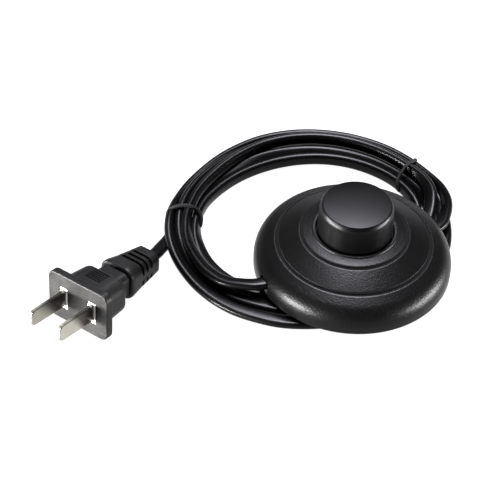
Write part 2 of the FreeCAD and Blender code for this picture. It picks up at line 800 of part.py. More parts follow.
# Coil: the outer shape of the cord's loose turns, open where the head stands on the cord
def stadium(x, z, width, thick):
    """Corners of a flat section with its four corners cut."""
    w, t, c = f"({width}) / 2", f"({thick}) / 2", "coil_corner"
    return [(f"{x} + {sx} * ({w} - {cx})", f"{z} + {sz} * ({t} - {cz})") for sx, sz, cx, cz in (
        (-1, -1, c, 0), (1, -1, c, 0), (1, -1, 0, c), (1, 1, 0, c),
        (1, 1, c, 0), (-1, 1, c, 0), (-1, 1, 0, c), (-1, -1, 0, c))]


COIL_PLACE = Vector(num("coil_x"), num("coil_y"), 0)


def cord_coil():
    body = make_body("cord_coil")
    section = stadium("coil_radius", "tie_thick + coil_height / 2", "coil_width", "coil_height")
    revolve(body, section, "coil_sweep")
    body.Placement = Placement(COIL_PLACE, Rotation(Vector(0, 0, 1), num("coil_start")))
    return body


def coil_tie(label, turn):
    """A tie bound round the coil, with its twisted ends on the inside of the ring."""
    body = make_body(label)
    band = make_sketch(body, "XZ_Plane", "-tie_width / 2")
    middle = ("coil_radius", "tie_thick + coil_height / 2")
    rounded(band, "coil_width + 2 * (tie_thick + tie_gap)", "coil_height + 2 * tie_thick",
            "coil_corner + tie_thick", middle)
    rounded(band, "coil_width + 2 * tie_gap", "coil_height", "coil_corner", middle)
    pad(body, band, "tie_width")
    tail = make_sketch(body, "YZ_Plane", "coil_radius - coil_width / 2 - tie_gap - tie_tail_length")
    circles(tail, [("0", "tie_tail_height")], "tie_width / 2")
    pad(body, tail, "tie_tail_length - tie_thick / 2")
    body.Placement = Placement(COIL_PLACE, Rotation(Vector(0, 0, 1), num(turn)))
    return body


# Routes of the cord where it isn't coiled, and of the wires in the head
PLUG_END = PLUG_PLACE.multVec(Vector(0, -num(PLUG_LENGTH), 0))
PLUG_AXIS = PLUG_PLACE.Rotation.multVec(Vector(0, -1, 0))
CORD_Z = num(CORD_MIDDLE)
CORD_END = num("cord_end_x")
WIRE_START = num("cord_end_x - peg_gap * 2")
WIRE_Z = num(f"{PLATE_TOP} + wire_radius + peg_gap")
PAD_Z = num(f"{CASE_FLOOR} + contact_thick + wire_radius")
PAD_END = num("terminal_x + terminal_head_radius")
TAIL_ROUTE = [
    tuple(PLUG_END), tuple(PLUG_END + PLUG_AXIS * 4.0), (-58.9, 34.9, 3.5), (-54.0, 38.9, 2.6),
    (-47.4, 43.9, 2.6)]
LEAD_PLUG_ROUTE = [
    (CORD_END, 0, CORD_Z), (29.8, -0.2, CORD_Z), (37.8, 0.3, CORD_Z), (43.6, 5.0, 5.2), (46.4, 12.0, 3.7),
    (46.7, 20.0, 3.4)]
LEAD_LAMP_ROUTE = [
    (-CORD_END, 0, CORD_Z), (-29.6, -0.2, CORD_Z), (-37.4, 0.3, CORD_Z), (-41.6, 5.2, 5.2),
    (-43.4, 11.8, 3.7), (-44.6, 19.0, 3.4)]
UNDERRUN_ROUTE = [
    (-44.4, 3.1), (-34.7, -8.9), (-19.9, -15.2), (2.2, -15.7), (23.2, -7.2), (35.6, 1.7), (40.3, 12.2)]
CORE_Y = num("cord_width") / 4
NEUTRAL_ROUTE = [
    (WIRE_START, -CORE_Y, CORD_Z), (WIRE_START - 1.2, -CORE_Y, CORD_Z), (18.6, -4.9, WIRE_Z + 0.3),
    (13.2, -11.6, WIRE_Z), (5.0, -14.6, WIRE_Z), (-5.0, -14.6, WIRE_Z), (-13.2, -11.6, WIRE_Z),
    (-18.6, -4.9, WIRE_Z + 0.3), (1.2 - WIRE_START, -CORE_Y, CORD_Z), (-WIRE_START, -CORE_Y, CORD_Z)]
LIVE_ROUTE = [
    (WIRE_START, CORE_Y, CORD_Z), (WIRE_START - 0.8, CORE_Y, CORD_Z),
    (WIRE_START - num("wire_drop_run"), CORE_Y * 0.6, PAD_Z), (PAD_END + 0.4, 0, PAD_Z)]


def rounded_path(points):
    """Straight runs joined by tangent arcs, each arc as large as its runs allow."""
    places = [Vector(*point) for point in points]
    edges, radii = [], []
    start = places[0]
    for before, here, after in zip(places, places[1:], places[2:]):
        back, ahead = before - here, after - here
        cut = 0.45 * min(back.Length, ahead.Length)
        half_turn = (math.pi - back.getAngle(ahead)) / 2
        radii.append(cut / math.tan(half_turn))
        arc_in = here + back.normalize() * cut
        arc_out = here + ahead.normalize() * cut
        inward = (back + ahead).normalize()
        centre = here + inward * (cut / math.sin(half_turn))
        arc_middle = centre + (here - centre).normalize() * radii[-1]
        edges.append(Part.LineSegment(start, arc_in).toShape())
        edges.append(Part.Arc(arc_in, arc_middle, arc_out).toShape())
        start = arc_out
    edges.append(Part.LineSegment(start, places[-1]).toShape())
    return Part.Wire(edges), radii


def flat_section(width, thick):
    """A wire of two straight sides and two round ends, in the XY plane, X across the cord."""
    half, r = (width - thick) / 2, thick / 2
    return Part.Wire([
        Part.LineSegment(Vector(-half, -r, 0), Vector(half, -r, 0)).toShape(),
        Part.Arc(Vector(half, -r, 0), Vector(half + r, 0, 0), Vector(half, r, 0)).toShape(),
        Part.LineSegment(Vector(half, r, 0), Vector(-half, r, 0)).toShape(),
        Part.Arc(Vector(-half, r, 0), Vector(-half - r, 0, 0), Vector(-half, -r, 0)).toShape()])


def swept(label, points, section):
    """A section swept along a route with its flat side level; prints the route's radii."""
    path, radii = rounded_path(points)
    along = path.Edges[0].tangentAt(path.Edges[0].FirstParameter)
    across = Vector(0, 0, 1).cross(along).normalize()
    upright = along.cross(across)
    start = Placement(Vector(*points[0]), Rotation(across, upright, along, "ZXY"))
    area = Part.Face(section).Area
    sweep = Part.BRepOffsetAPI.MakePipeShell(path)
    sweep.setBiNormalMode(Vector(0, 0, 1))
    sweep.add(section.transformed(start.toMatrix()))
    sweep.build()
    sweep.makeSolid()
    node = doc.addObject("Part::Feature", label)
    node.Label = label
    node.Shape = sweep.shape()
    print(label, "radii", [round(r, 1) for r in radii], "length", round(path.Length, 1),
          "volume share", round(node.Shape.Volume / (area * path.Length), 3))
    return node


def mirrored(points):
    return [(-x, y, z) for x, y, z in points]


top_cover()
base_plate()
rubber_feet()
screws("base_screws", SCREWS, "screw_radius", "screw_head_radius", ("foot_height", "screw_head_thick"),
       ("foot_height + screw_head_thick", "screw_length - screw_head_thick"))
screws("terminal_screws", TERMINALS, "terminal_screw_radius", "terminal_head_radius",
       (f"{CASE_FLOOR} + contact_thick", "terminal_head_thick"),
       (PLATE_TOP, "case_floor + contact_thick"))
screws("clamp_screws", CLAMP_SCREWS, "clamp_screw_radius", "clamp_head_radius",
       (f"{CORD_TOP} + clamp_thick", "clamp_head_thick"), (PLATE_TOP, "cord_thick + clamp_thick"))
push_button()
plunger()
rotor()
contact_bridge()
switch_case()
switch_lid()
button_spring()
for side, turn in SIDES.items():
    fixed_contact(side, turn)
    cord_clamp(side, turn)
plug_body()
plug_core()
for label, middle in BLADES.items():
    blade(label, middle)
cord_coil()
coil_tie("tie_left", "tie_left_turn")
coil_tie("tie_right", "tie_right_turn")
CORD = flat_section(num("cord_width"), num("cord_thick"))
WIRE = Part.Wire(Part.makeCircle(num("wire_radius")))
swept("cord_tail", TAIL_ROUTE, CORD)
swept("cord_lead_plug_side", LEAD_PLUG_ROUTE, CORD)
swept("cord_lead_lamp_side", LEAD_LAMP_ROUTE, CORD)
swept("cord_underrun", [(x, y, num("underrun_thick") / 2) for x, y in UNDERRUN_ROUTE],
      flat_section(num("underrun_width"), num("underrun_thick")))
swept("neutral_wire", NEUTRAL_ROUTE, WIRE)
swept("live_wire_plug_side", LIVE_ROUTE, WIRE)
swept("live_wire_lamp_side", mirrored(LIVE_ROUTE), WIRE)
doc.recompute()

# Every object is sound before anything is written
for item in doc.Objects:
    if "Invalid" in item.State or "Error" in item.State:
        raise ValueError(f"{item.Label} has failed: {item.State}")
NODES = [item for item in doc.Objects if item.TypeId in ("PartDesign::Body", "Part::Feature")]
for node in NODES:
    if node.Shape.isNull() or not node.Shape.isValid():
        raise ValueError(f"{node.Label} has no sound shape")
os.makedirs("parts", exist_ok=True)
for node in NODES:
    node.Shape.exportStep(f"parts/{node.Label}.step")
print(len(NODES), "nodes")
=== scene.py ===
import json
import math

import bpy
from mathutils import Matrix, Vector


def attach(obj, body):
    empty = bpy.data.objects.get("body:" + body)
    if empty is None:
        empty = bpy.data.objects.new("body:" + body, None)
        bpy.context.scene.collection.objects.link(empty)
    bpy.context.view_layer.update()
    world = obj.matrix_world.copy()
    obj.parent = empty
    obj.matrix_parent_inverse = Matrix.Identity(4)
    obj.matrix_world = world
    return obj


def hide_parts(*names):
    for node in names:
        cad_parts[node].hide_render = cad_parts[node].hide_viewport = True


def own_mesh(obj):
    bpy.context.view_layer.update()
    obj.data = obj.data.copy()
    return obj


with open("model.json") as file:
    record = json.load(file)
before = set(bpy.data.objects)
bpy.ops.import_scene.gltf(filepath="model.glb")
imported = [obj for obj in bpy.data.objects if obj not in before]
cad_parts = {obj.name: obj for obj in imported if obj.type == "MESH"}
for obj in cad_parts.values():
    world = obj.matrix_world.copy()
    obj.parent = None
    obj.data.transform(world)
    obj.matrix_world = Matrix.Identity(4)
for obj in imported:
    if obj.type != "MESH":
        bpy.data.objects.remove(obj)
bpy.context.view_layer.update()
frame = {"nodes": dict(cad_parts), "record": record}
MM = 0.001


# The photograph's camera

CAMERA_PLACE = Vector((-203.5, -324.0, 377.0)) * MM
CAMERA_TURN = math.radians(26.7)
CAMERA_DROP = math.radians(44.06)
CAMERA_ROLL = math.radians(1.99)
LENS = 108
SENSOR = 36


def new_object(name, data):
    """An object for the data, linked to the scene."""
    made = bpy.data.objects.new(name, data)
    bpy.context.scene.collection.objects.link(made)
    return made


def add_camera():
    """The camera looks along its turn and drop, and is rolled a little about that line."""
    data = bpy.data.cameras.new("camera")
    data.lens = LENS
    data.sensor_width = SENSOR
    camera = new_object("camera", data)
    flat = math.cos(CAMERA_DROP)
    forward = Vector((
        math.sin(CAMERA_TURN) * flat, math.cos(CAMERA_TURN) * flat, -math.sin(CAMERA_DROP)
    ))
    level = Vector((math.cos(CAMERA_TURN), -math.sin(CAMERA_TURN), 0))
    upright = level.cross(forward)
    right = level * math.cos(CAMERA_ROLL) + upright * math.sin(CAMERA_ROLL)
    up = right.cross(forward)
    turn = Matrix((right, up, -forward)).transposed().to_4x4()
    camera.matrix_world = Matrix.Translation(CAMERA_PLACE) @ turn
    bpy.context.scene.camera = camera


add_camera()


# Shader sums and materials


class Value:
    """A shader value whose sums become Math nodes."""

    def __init__(self, look, socket):
        self.look = look
        self.socket = socket

    def sum(self, operation, first, second):
        return self.look.node("ShaderNodeMath", {"operation": operation}, first, second)

    def __add__(self, other):
        return self.sum("ADD", self, other)

    def __radd__(self, other):
        return self.sum("ADD", other, self)

    def __sub__(self, other):
        return self.sum("SUBTRACT", self, other)

    def __rsub__(self, other):
        return self.sum("SUBTRACT", other, self)

    def __mul__(self, other):
        return self.sum("MULTIPLY", self, other)

    def __rmul__(self, other):
        return self.sum("MULTIPLY", other, self)


class Look:
    """One material's nodes, with the Principled shader at their end."""

    def __init__(self, name):
        self.material = bpy.data.materials.new(name)
        self.material.use_nodes = True
        self.tree = self.material.node_tree
        self.shader = self.tree.nodes["Principled BSDF"]
        self.place = self.node("ShaderNodeTexCoord", {}, output="Object")

    def node(self, kind, settings, *values, output=0, **named):
        """A node with its settings, then its sockets' values or links. None skips a socket."""
        node = self.tree.nodes.new(kind)
        for key, setting in settings.items():
            setattr(node, key, setting)
        for key, value in [*enumerate(values), *named.items()]:
            if value is not None:
                self.feed(node.inputs[key], value)
        return Value(self, node.outputs[output])

    def feed(self, socket, value):
        if isinstance(value, Value):
            self.tree.links.new(value.socket, socket)
        else:
            socket.default_value = value

    def noise(self, size, detail=2.0):
        return self.node(
            "ShaderNodeTexNoise", {}, output="Fac", Vector=self.place, Scale=1 / size, Detail=detail
        )

    def ramp(self, value, start, end):
        """0 where the value is at start, 1 where it is at end."""
        return self.node("ShaderNodeMapRange", {}, value, start, end, 0.0, 1.0)

    def mix(self, share, low, high):
        """A colour between low and high. Five sockets for other kinds of value come before them."""
        others = (None,) * 5
        colours = {"data_type": "RGBA"}
        return self.node("ShaderNodeMix", colours, share, *others, low, high, output=2)

    def bump(self, height, depth):
        return self.node("ShaderNodeBump", {}, Distance=depth, Height=height)

    def dress(self, **sockets):
        """Feeds the Principled shader's sockets."""
        for key, value in sockets.items():
            self.feed(self.shader.inputs[key.replace("_", " ")], value)
        return self.material


def shade(level, warmth=0.0):
    """A grey of that level, redder with more warmth."""
    return (level * (1 + warmth), level, level * (1 - warmth), 1)


PLASTIC_PATCH = 14 * MM
FLEX_PATCH = 22 * MM
PLASTIC_SHINE = 0.09
GROOVES = (27.03, 18.54)
GROOVE_HALF = 0.55
# The painted shade in the ring grooves fades out across this blur at their edges.
GROOVE_SHADE_BLUR = 0.05


def from_axis(look):
    """How far a point lies from the switch's upright axis."""
    flat = look.node("ShaderNodeVectorMath", {"operation": "MULTIPLY"}, look.place, (1, 1, 0))
    return look.node("ShaderNodeVectorMath", {"operation": "LENGTH"}, flat, output="Value")


def plastic(name, dark, light, roughness, grain, depth, warmth=0.0, rings=()):
    """Moulded plastic with a fine spark-eroded grain, duller in any ring grooves and darkened there
    by painted shade.
    """
    look = Look(name)
    slow = look.noise(PLASTIC_PATCH)
    fine = look.noise(grain, detail=3.0)
    tone = look.mix(slow * 0.5 + fine * 0.5, shade(dark, warmth), shade(light, warmth))
    rough = roughness + (fine - 0.5) * 0.16
    for ring in rings:
        # Painted shade: each ring groove's colour is darkened towards half the darkest tone, and
        # its roughness is raised.
        aside = look.node("ShaderNodeMath", {"operation": "ABSOLUTE"}, from_axis(look) - ring * MM)
        outside, inside = GROOVE_HALF + GROOVE_SHADE_BLUR, GROOVE_HALF - GROOVE_SHADE_BLUR
        groove_shade_and_dullness = look.ramp(aside, outside * MM, inside * MM)
        tone = look.mix(groove_shade_and_dullness, tone, shade(dark / 2, warmth))
        rough = rough + groove_shade_and_dullness * 0.5
    look.dress(Base_Color=tone, Roughness=rough, Normal=look.bump(fine, depth))
    return look.dress(Specular_IOR_Level=PLASTIC_SHINE)


def flex(name, dark, light, roughness, shine):
    """Smooth black plastic, a little duller in places where it has been handled."""
    look = Look(name)
    slow = look.noise(FLEX_PATCH)
    tone = look.mix(slow, shade(dark), shade(light))
    look.dress(Base_Color=tone, Roughness=roughness + (slow - 0.5) * 0.12)
    return look.dress(Specular_IOR_Level=shine)


# The plug's face lies square to its blades and is paler than the rest of its moulding
PLUG_FACE = Vector((-98.1, 13.5, 10.6)) * MM
PLUG_AHEAD = Vector((-0.8830, -0.4441, 0.1513))
PLUG_PATCH = 9 * MM
PLUG_GRAIN = 0.5 * MM
PLUG_GRAIN_DEPTH = 0.06 * MM
PLUG_SHINE = 0.10


def along_plug(look):
    """How far a point lies ahead of the plug's face."""
    dot = {"operation": "DOT_PRODUCT"}
    ahead = look.node("ShaderNodeVectorMath", dot, look.place, PLUG_AHEAD, output="Value")
    return ahead - PLUG_FACE.dot(PLUG_AHEAD)


def plug_plastic(name):
    """The plug's mottled moulding, paler on its face."""
    look = Look(name)
    slow = look.noise(PLUG_PATCH)
    fine = look.noise(PLUG_GRAIN, detail=3.0)
    mottle = look.ramp(slow * 0.4 + fine * 0.6, 0.38, 0.62)
    on_face = look.ramp(along_plug(look), -0.5 * MM, -0.1 * MM)
    body = look.mix(mottle, shade(0.0008, 0.05), shade(0.005, 0.07))
    face = look.mix(mottle, shade(0.002, 0.05), shade(0.014, 0.05))
    look.dress(Base_Color=look.mix(on_face, body, face), Roughness=0.44 + (fine - 0.5) * 0.2)
    return look.dress(Normal=look.bump(fine, PLUG_GRAIN_DEPTH), Specular_IOR_Level=PLUG_SHINE)


BRUSH_STRETCH = (1, 1, 8)


def metal(name, dark, light, roughness, brush, warmth=0.0):
    """Bare metal with fine drawn lines."""
    look = Look(name)
    stretched = look.node(
        "ShaderNodeMapping", {}, output="Vector", Vector=look.place, Scale=BRUSH_STRETCH
    )
    lines = look.node(
        "ShaderNodeTexNoise", {}, output="Fac", Vector=stretched, Scale=1 / brush, Detail=2.0
    )
    tone = look.mix(lines, shade(dark, warmth), shade(light, warmth))
    return look.dress(Base_Color=tone, Metallic=1.0, Roughness=roughness + (lines - 0.5) * 0.12)


BLADE_PATCH = 5 * MM
BLADE_SLANT = 0.7
# The root colour is painted shade where the blade meets the plug's face.
BLADE_ROOT_SHADE = (0.075, 0.07, 0.06, 1)
BLADE_DULL = (0.25, 0.24, 0.205, 1)
BLADE_BRIGHT = (0.37, 0.355, 0.305, 1)


def blade_metal(name):
    """Plated blade, with painted shade from its root to a slanting edge."""
    look = Look(name)
    slow = look.noise(BLADE_PATCH)
    height = look.node("ShaderNodeSeparateXYZ", {}, look.place, output="Z") - PLUG_FACE.z
    # Painted shade: dark near the root, up to an edge that slants with the blade's height.
    out = look.ramp(along_plug(look) - height * BLADE_SLANT, 4.5 * MM, 7.5 * MM)
    plate = look.mix(slow, BLADE_DULL, BLADE_BRIGHT)
    look.dress(Base_Color=look.mix(out, BLADE_ROOT_SHADE, plate), Roughness=0.26 + slow * 0.1)
    return look.dress(Metallic=1.0)


# plastic: darkest, lightest, roughness, grain, its depth, warmth and ring grooves, which get
# painted shade
# flex: darkest, lightest, roughness and shine
# metal: darkest, lightest, roughness, brush and warmth
FINISHES = {
    "black_shell": (plastic, 0.0005, 0.0016, 0.34, 0.65 * MM, 0.085 * MM, 0.02, GROOVES),
    "button_black": (flex, 0.0004, 0.001, 0.34, 0.07),
    "base_black": (plastic, 0.010, 0.016, 0.50, 0.5 * MM, 0.02 * MM),
    "rubber_black": (plastic, 0.002, 0.006, 0.60, 0.4 * MM, 0.02 * MM),
    "cord_black": (flex, 0.0005, 0.0015, 0.29, 0.085),
    "plug_black": (plug_plastic,),
    "core_white": (plastic, 0.62, 0.74, 0.45, 0.6 * MM, 0.01 * MM, 0.03),
    "blade_nickel": (blade_metal,),
    "screw_steel": (metal, 0.50, 0.62, 0.30, 0.4 * MM),
    "spring_steel": (metal, 0.45, 0.58, 0.28, 0.4 * MM),
    "contact_brass": (metal, 0.55, 0.68, 0.30, 0.4 * MM, 0.35),
    "case_grey": (plastic, 0.10, 0.14, 0.50, 0.5 * MM, 0.01 * MM),
    "rotor_ivory": (plastic, 0.55, 0.66, 0.40, 0.5 * MM, 0.01 * MM, 0.08),
    "wire_brown": (plastic, 0.06, 0.08, 0.35, 0.6 * MM, 0.004 * MM, 0.5),
    "wire_white": (plastic, 0.60, 0.70, 0.35, 0.6 * MM, 0.004 * MM),
}
MATERIALS = {name: make(name, *values) for name, (make, *values) in FINISHES.items()}


def finish_piece(piece, slot, body, *nodes):
    """The piece in its slot's material, on its body and in place of its CAD nodes."""
    piece.data.materials.clear()
    piece.data.materials.append(MATERIALS[slot])
    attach(piece, body)
    if nodes:
        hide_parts(*nodes)
    return piece


# Cords: flat twin flex, 5 mm by 3 mm, wound in a ring and held by two ties

RING = Vector((-3.8, 22.4, 0))
FLAT_WIDTH = 5.0
FLAT_THICK = 3.0
STEP_TURN = 9
HALF_ROUND_STEPS = 8
CURVE_STEPS = 6
WIRE_STEPS = 4

# Each station of a strand: turn about the ring in degrees, radius, height and lean in degrees.
# A lean of 90 stands the flat cord on edge.
FROM_PLUG = [
    (155, 49.9, 1.6, 0), (149, 48.0, 1.6, 0), (139, 46.6, 1.6, 0), (125, 45.2, 1.6, 0),
    (112, 44.4, 1.7, 8), (101, 43.9, 2.0, 25), (90, 43.6, 2.3, 40), (75, 43.6, 2.3, 42),
    (60, 43.9, 2.3, 42), (45, 44.2, 2.3, 42), (30, 44.6, 2.3, 42), (14, 45.0, 2.3, 45),
    (4, 45.5, 2.6, 60), (-5, 45.8, 2.4, 45), (-12, 45.6, 1.8, 15), (-20, 44.8, 1.6, 0),
    (-30, 43.0, 1.6, 0), (-48, 39.6, 1.6, 0), (-81, 38.1, 1.6, 0), (-113, 39.9, 1.6, 0),
    (-134, 41.9, 1.6, 0),
]
SECOND_TURN = [
    (-147, 43.3, 1.6, 0), (-155, 44.6, 1.6, 0), (-163, 45.8, 1.8, 10), (-172, 47.0, 2.1, 28),
    (-183, 48.2, 2.6, 55), (-195, 49.1, 3.2, 82), (-211, 49.2, 4.8, 90), (-221, 48.6, 5.0, 90),
    (-235, 47.8, 4.8, 90), (-248, 47.9, 4.2, 90), (-259, 48.5, 3.5, 90), (-270, 49.3, 2.9, 90),
    (-285, 50.1, 2.8, 90), (-300, 50.4, 2.8, 90), (-315, 50.5, 2.8, 90), (-330, 50.6, 2.8, 90),
    (-346, 50.3, 2.8, 90), (-356, 50.2, 2.7, 80), (-365, 49.9, 2.2, 40), (-374, 49.3, 1.7, 8),
    (-384, 48.6, 1.6, 0), (-394, 47.9, 1.6, 0), (-408, 45.4, 1.6, 0), (-441, 43.8, 1.6, 0),
    (-473, 45.9, 1.6, 0), (-494, 47.9, 1.6, 0),
]
THIRD_TURN = [
    (-507, 49.0, 1.6, 0), (-515, 49.7, 1.7, 5), (-523, 50.3, 1.9, 12), (-532, 51.0, 2.3, 20),
    (-543, 51.7, 3.0, 28), (-552, 52.2, 3.9, 38), (-560, 52.4, 4.7, 55), (-568, 52.3, 5.0, 76),
    (-575, 51.8, 4.3, 88), (-581, 51.4, 3.4, 90), (-595, 50.8, 2.8, 90), (-608, 50.9, 2.8, 90),
    (-619, 51.5, 2.8, 90), (-630, 52.3, 2.8, 90), (-645, 53.1, 2.8, 90), (-660, 53.4, 2.8, 90),
    (-675, 53.5, 2.8, 90), (-690, 53.6, 2.8, 90), (-706, 53.2, 3.0, 90), (-717, 53.1, 3.6, 82),
]
TO_LAMP = [
    (199, 45.2, 6.2, 14), (190, 46.1, 5.9, 20), (183, 46.4, 5.7, 26), (172, 46.6, 5.5, 34),
    (165, 46.5, 5.4, 46), (156, 46.3, 5.4, 68), (149, 46.1, 5.4, 86), (139, 45.5, 5.5, 90),
    (125, 44.9, 5.5, 90), (112, 44.9, 5.6, 88), (101, 45.5, 5.7, 86), (90, 46.4, 5.7, 86),
    (75, 47.3, 5.8, 87), (60, 47.8, 5.8, 87), (45, 48.0, 5.8, 87), (30, 48.1, 5.8, 89),
    (14, 48.1, 6.0, 82), (4, 48.2, 6.6, 46), (-4, 47.2, 6.9, 32), (-10, 45.4, 6.4, 26),
    (-16, 43.4, 5.0, 16), (-22, 41.2, 3.0, 5), (-28, 38.8, 1.8, 0), (-38, 36.4, 1.6, 0),
    (-48, 34.6, 1.6, 0), (-81, 33.0, 1.6, 0), (-113, 34.8, 1.6, 0), (-134, 36.9, 1.6, 0),
]
LAMP_TURN = [
    (-147, 38.3, 1.6, 0), (-155, 39.6, 1.6, 0), (-163, 40.6, 1.6, 0), (-172, 41.7, 1.7, 5),
    (-183, 42.6, 1.9, 15), (-195, 42.9, 2.4, 40), (-211, 42.9, 2.9, 85), (-221, 42.0, 2.9, 90),
    (-235, 40.3, 2.8, 90), (-250, 39.1, 2.8, 90), (-265, 38.5, 2.8, 90), (-285, 38.7, 2.8, 90),
    (-300, 39.4, 2.8, 90), (-315, 40.2, 2.8, 90), (-330, 40.9, 2.8, 90), (-346, 41.6, 2.8, 90),
    (-356, 41.6, 2.7, 86), (-365, 41.0, 2.4, 55), (-373, 39.3, 1.7, 12), (-380, 36.8, 1.6, 0),
    (-386, 34.0, 1.6, 0),
]

# The plug's tail and the two leads into the switch, as points with a lean
TAIL = [
    ((-65.8, 29.8, 5.05), 0), ((-62.3, 31.6, 4.4), 0), ((-58.9, 34.9, 3.1), 0),
    ((-54.0, 38.9, 1.8), 0),
]
LEAD_PLUG = [
    ((48.8, 19.6, 4.6), 80), ((47.0, 13.4, 5.6), 70), ((44.2, 8.6, 6.4), 55),
    ((40.6, 4.6, 7.0), 35), ((37.2, 1.2, 7.4), 12), ((33.0, 0.1, 7.5), 0),
    ((22.0, 0.0, 7.5), 0),
]
LEAD_LAMP = [
    ((-22.0, 0.0, 7.5), 0), ((-29.6, -0.2, 7.5), 0), ((-36.6, 0.2, 7.5), 4),
    ((-41.4, 3.4, 6.9), 14),
]


def between(before, low, high, after, share):
    """A smooth run from low to high that leaves along its neighbours."""
    slope_low = (high - before) / 2
    slope_high = (after - low) / 2
    rise = high - low
    return low + share * (slope_low + share * (3 * rise - 2 * slope_low - slope_high
                                               + share * (slope_low + slope_high - 2 * rise)))


def wound(stations):
    """The strand's points, one every few degrees of turn, as places in mm with a lean."""
    points = []
    last = len(stations) - 1
    for i in range(last):
        around = [stations[max(i - 1, 0)], stations[i], stations[i + 1], stations[min(i + 2, last)]]
        steps = max(1, round((stations[i][0] - stations[i + 1][0]) / STEP_TURN))
        for step in range(steps):
            turn, radius, height, lean = (between(*column, step / steps) for column in zip(*around))
            points.append((on_ring(turn, radius, height), lean))
    points.append((on_ring(*stations[last][:3]), stations[last][3]))
    return points


def on_ring(turn, radius, height):
    """The place in mm at a turn, radius and height on the ring."""
    angle = math.radians(turn)
    return RING + Vector((radius * math.cos(angle), radius * math.sin(angle), height))


def section_curve():
    """The flat flex's section: two half circles and their straight sides."""
    data = bpy.data.curves.new("section", "CURVE")
    spline = data.splines.new("POLY")
    half = FLAT_THICK / 2
    straight = (FLAT_WIDTH - FLAT_THICK) / 2
    corners = []
    for side in (1, -1):
        for step in range(HALF_ROUND_STEPS + 1):
            angle = math.pi * (step / HALF_ROUND_STEPS - 0.5)
            across = straight + half * math.cos(angle)
            corners.append((side * across, side * half * math.sin(angle)))
    spline.points.add(len(corners) - 1)
    for point, (across, up) in zip(spline.points, corners):
        point.co = (across * MM, up * MM, 0, 1)
    spline.use_cyclic_u = True
    return new_object("section", data)


def smooth_curve(name, places, closed=False):
    """One smooth spline with the places, in mm, as its control points."""
    data = bpy.data.curves.new(name, "CURVE")
    data.dimensions = "3D"
    data.resolution_u = CURVE_STEPS
    spline = data.splines.new("NURBS")
    spline.points.add(len(places) - 1)
    for point, place in zip(spline.points, places):
        point.co = (*(Vector(place) * MM), 1)
    spline.order_u = 3
    spline.use_cyclic_u = closed
    spline.use_endpoint_u = not closed
    return new_object(name, data)


def route_curve(name, points):
    """The cord's route, with its flat side turned by the lean at each point."""
    places, leans = zip(*points)
    curve = smooth_curve(name, places)
    curve.data.twist_mode = "Z_UP"
    for point, lean in zip(curve.data.splines[0].points, leans):
        point.tilt = math.radians(lean)
    return curve


def centreline(curve):
    """The curve's own points, read before it has a section."""
    bpy.context.view_layer.update()
    mesh = bpy.data.meshes.new_from_object(curve)
    line = [curve.matrix_world @ vertex.co for vertex in mesh.vertices]
    bpy.data.meshes.remove(mesh)
    return line


def only(piece):
    """Selects the piece and nothing else."""
    bpy.ops.object.select_all(action="DESELECT")
    piece.select_set(True)
    bpy.context.view_layer.objects.active = piece


def as_mesh(piece):
    only(piece)
    bpy.ops.object.convert(target="MESH")
    bpy.ops.object.shade_smooth()
    return bpy.context.object


def length_of(line):
    return sum((b - a).length for a, b in zip(line, line[1:]))


def flat_cord(name, points, *nodes):
    """The flat flex along its route, with the line it follows."""
    curve = route_curve(name, points)
    line = centreline(curve)
    section = section_curve()
    curve.data.bevel_mode = "OBJECT"
    curve.data.bevel_object = section
    curve.data.use_fill_caps = True
    piece = as_mesh(curve)
    bpy.data.objects.remove(section)
    finish_piece(piece, "cord_black", "base", *nodes)
    return piece, line


# Wire ties: each is one loop bent round the strands, as turn, radius and height on the ring

TIE_WIRE = 1.4
TIE_LOOPS = {
    "tie_left": [
        (151, 44.0, 0.75), (150, 53.0, 0.75), (150, 53.7, 3.0), (149.5, 53.2, 6.2),
        (149, 50.9, 7.8), (148.5, 47.4, 8.5), (148, 44.2, 7.8), (148.5, 42.2, 6.2),
        (150.5, 40.9, 4.8), (152.5, 40.9, 3.0), (153.5, 41.4, 1.2),
    ],
    "tie_right": [
        (11, 44.0, 0.75), (17.5, 54.4, 0.75), (17.8, 54.9, 3.0), (17, 54.3, 5.6),
        (15.6, 51.2, 7.0), (14.5, 47.8, 9.4), (13.6, 44.4, 7.6), (13, 41.8, 5.9),
        (11.5, 40.0, 4.7), (9.5, 39.5, 3.0), (8.8, 40.4, 1.2),
    ],
}


def bent_wire(name, places, thick, closed):
    """A round wire bent through the places."""
    curve = smooth_curve(name, places, closed)
    curve.data.bevel_depth = thick / 2 * MM
    curve.data.bevel_resolution = WIRE_STEPS
    curve.data.use_fill_caps = True
    return as_mesh(curve)


def add_tie(name):
    places = [on_ring(*station) for station in TIE_LOOPS[name]]
    wire = bent_wire(f"{name}_wire", places, TIE_WIRE, True)
    return finish_piece(wire, "rubber_black", "base", name)


plug_cord, plug_line = flat_cord(
    "plug_cord",
    TAIL + wound(FROM_PLUG + SECOND_TURN + THIRD_TURN) + LEAD_PLUG,
    "cord_tail", "cord_coil", "cord_lead_plug_side",
)
lamp_cord, lamp_line = flat_cord(
    "lamp_cord", LEAD_LAMP + wound(TO_LAMP + LAMP_TURN), "cord_lead_lamp_side", "cord_underrun"
)
ties = [add_tie(name) for name in TIE_LOOPS]


# Turned pieces: the cover and the button

SPIN_STEPS = 160
MERGE_GAP = 0.002
CREASE = math.radians(40)


